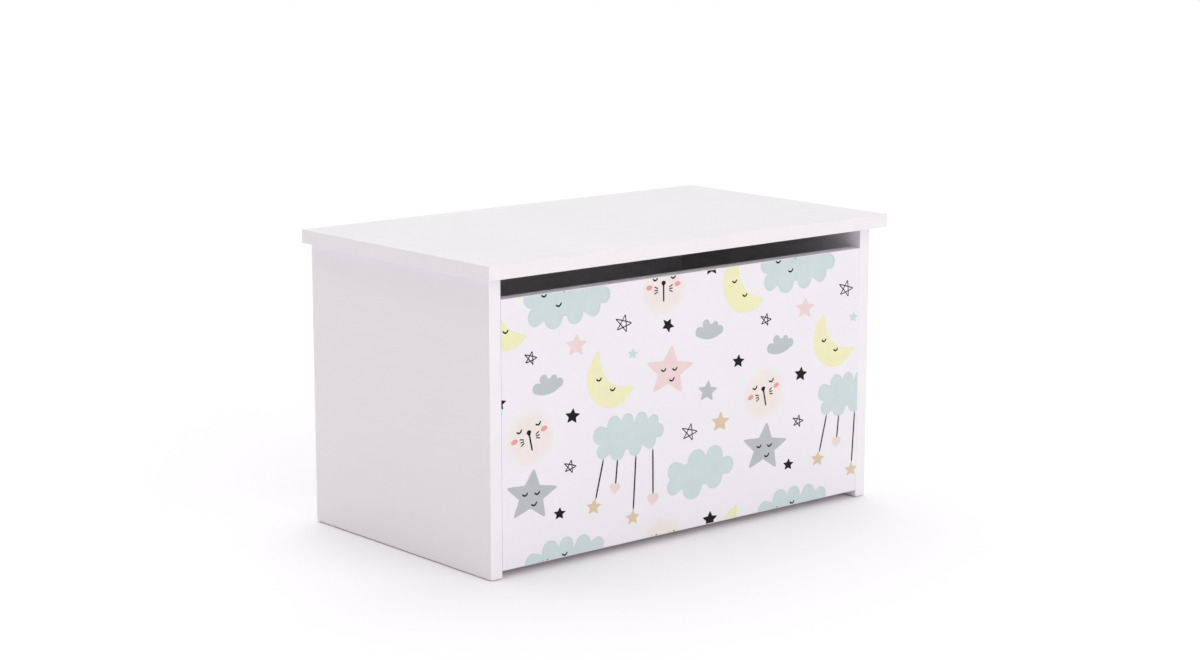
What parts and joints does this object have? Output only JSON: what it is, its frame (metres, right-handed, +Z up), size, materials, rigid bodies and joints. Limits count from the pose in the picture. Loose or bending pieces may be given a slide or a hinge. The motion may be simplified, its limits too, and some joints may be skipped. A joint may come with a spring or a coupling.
{
  "type": "toy box",
  "caption": "Free-standing toy box of white melamine-faced board with an inset printed front panel, a hand gap above it and a lid hinged at the rear on butt hinges with a gas strut.",
  "frame": {"origin": "on the floor, at the middle of the footprint, hinge barrels included", "axes": "+X to the right along the width, +Y to the rear, +Z up; the printed front faces -Y"},
  "size_m": [0.694, 0.4058, 0.4],
  "materials": {
    "white_board": "satin",
    "white_edging": "satin",
    "printed_film": "satin",
    "beech_dowel": "matt",
    "zinc_fitting": "satin",
    "white_plastic": "satin",
    "hinge_steel": "satin",
    "screw_steel": "satin",
    "strut_black": "satin",
    "rod_chrome": "polished",
    "black_plastic": "matt",
    "bumper_rubber": "matt"
  },
  "bodies": {
    "box": {"left_side_panel": "white_board", "right_side_panel": "white_board", "front_panel": "white_board", "back_panel": "white_board", "bottom_panel": "white_board", "left_side_edging": "white_edging", "right_side_edging": "white_edging", "front_panel_edging": "white_edging", "back_panel_edging": "white_edging", "front_print_film": "printed_film", "wooden_dowels": "beech_dowel", "cam_bolts": "zinc_fitting", "cam_locks": "zinc_fitting", "cam_covers": "white_plastic", "left_hinge_box_leaf": "hinge_steel", "right_hinge_box_leaf": "hinge_steel", "left_hinge_pin": "hinge_steel", "right_hinge_pin": "hinge_steel", "hinge_screws_box": "screw_steel", "strut_box_bracket": "zinc_fitting", "strut_box_clip": "screw_steel", "strut_box_screws": "screw_steel", "lid_bumpers": "bumper_rubber", "floor_glides": "white_plastic"},
    "lid": {"lid_panel": "white_board", "lid_edging": "white_edging", "left_hinge_lid_leaf": "hinge_steel", "right_hinge_lid_leaf": "hinge_steel", "hinge_screws_lid": "screw_steel", "strut_lid_bracket": "zinc_fitting", "strut_lid_clip": "screw_steel", "strut_lid_screws": "screw_steel"},
    "strut_rod_end": {"strut_rod": "rod_chrome", "strut_piston": "zinc_fitting", "strut_rod_eye": "black_plastic"},
    "strut_tube_end": {"strut_cylinder": "strut_black", "strut_guide": "black_plastic", "strut_cylinder_eye": "black_plastic"}
  },
  "joints": [
    {"name": "lid_hinge", "type": "hinge", "parent": "box", "child": "lid", "pos_m": [0, 0.20015, 0.3808], "axis": [-1, 0, 0], "range_deg": [0, 80]},
    {"name": "strut_box_pivot", "type": "hinge", "parent": "box", "child": "strut_rod_end", "pos_m": [-0.3025, 0.14318, 0.18909], "axis": [-1, 0, 0], "range_deg": [0, 40]},
    {"name": "strut_lid_pivot", "type": "hinge", "parent": "lid", "child": "strut_tube_end", "pos_m": [-0.3025, 0.00086, 0.364], "axis": [-1, 0, 0], "range_deg": [-40, 0]}
  ],
  "couplings": [
    {"joint": "strut_box_pivot", "follows": "lid_hinge", "ratio": 0.5},
    {"joint": "strut_lid_pivot", "follows": "lid_hinge", "ratio": -0.5}
  ]
}
